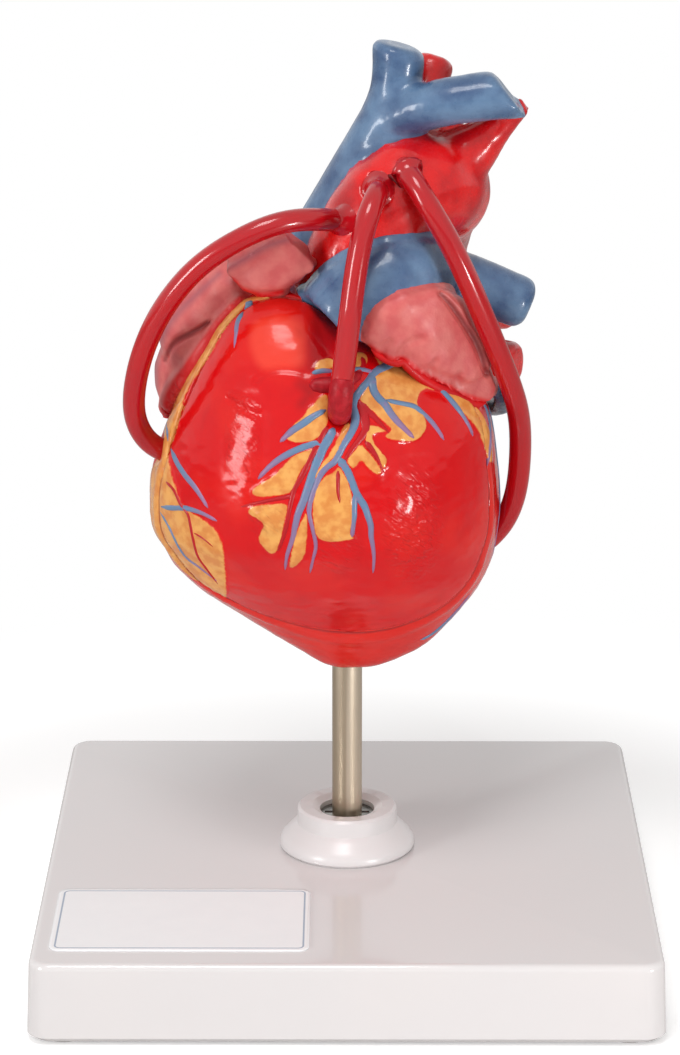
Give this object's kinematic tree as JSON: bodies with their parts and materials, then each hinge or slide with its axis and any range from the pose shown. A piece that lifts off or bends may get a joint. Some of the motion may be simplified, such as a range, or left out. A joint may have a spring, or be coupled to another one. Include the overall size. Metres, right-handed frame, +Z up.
{
  "type": "human heart anatomy model",
  "caption": "Two-part teaching heart with bypass grafts on a steel rod and a square base; the front wall comes off to show the chambers and valves.",
  "frame": {"origin": "centre of the base's footprint, on the surface that the feet rest on", "axes": "+Z up along the rod, +X to the viewer's right, -Y towards the viewer, out of the heart's front wall"},
  "size_m": [0.121, 0.121, 0.1811],
  "materials": {
    "base_plastic": "pale grey-white moulded plastic, glossy",
    "feet_rubber": "dark rubber",
    "washer_steel": "plated spring steel",
    "label_film": "blank white sticker film",
    "rod_steel": "warm nickel-plated steel",
    "muscle_red": "moulded vinyl, painted bright red and lacquered",
    "artery_red": "moulded vinyl, painted red and lacquered",
    "vein_blue": "moulded vinyl, painted blue-grey and lacquered",
    "atrium_pink": "moulded vinyl, painted pink and lacquered",
    "graft_red": "stiff moulded tube, deep red and glossy",
    "inner_ivory": "ivory plastic"
  },
  "bodies": {
    "stand": {"base_plate": "base_plastic", "base_feet": "feet_rubber", "rod_collar": "base_plastic", "lock_washer": "washer_steel", "blank_label": "label_film"},
    "rod": {"support_rod": "rod_steel"},
    "heart": {"rear_casing": "muscle_red", "rod_socket": "inner_ivory", "peg_sockets": "inner_ivory", "aorta": "artery_red", "superior_vena_cava": "vein_blue", "inferior_vena_cava": "vein_blue", "pulmonary_artery": "vein_blue", "pulmonary_veins": "artery_red", "coronary_sinus": "vein_blue", "right_atrium": "atrium_pink", "right_auricle": "atrium_pink", "left_atrium": "atrium_pink", "left_auricle": "atrium_pink", "graft_right": "graft_red", "graft_left": "graft_red", "tricuspid_valve": "inner_ivory", "mitral_valve": "inner_ivory", "aortic_valve": "inner_ivory", "pulmonary_valve": "inner_ivory"},
    "front_piece": {"front_wall": "muscle_red", "wall_pegs": "inner_ivory", "graft_front": "graft_red"}
  },
  "joints": [
    {"name": "rod_swivel", "type": "hinge", "parent": "stand", "child": "rod", "pos_m": [0, 0, 0.02], "axis": [0, 0, 1], "continuous": true},
    {"name": "heart_lift", "type": "slide", "parent": "rod", "child": "heart", "axis": [0, 0, 1], "range_m": [0, 0.03]},
    {"name": "front_wall_removal", "type": "slide", "parent": "heart", "child": "front_piece", "axis": [0, -1, 0], "range_m": [0, 0.06]}
  ]
}
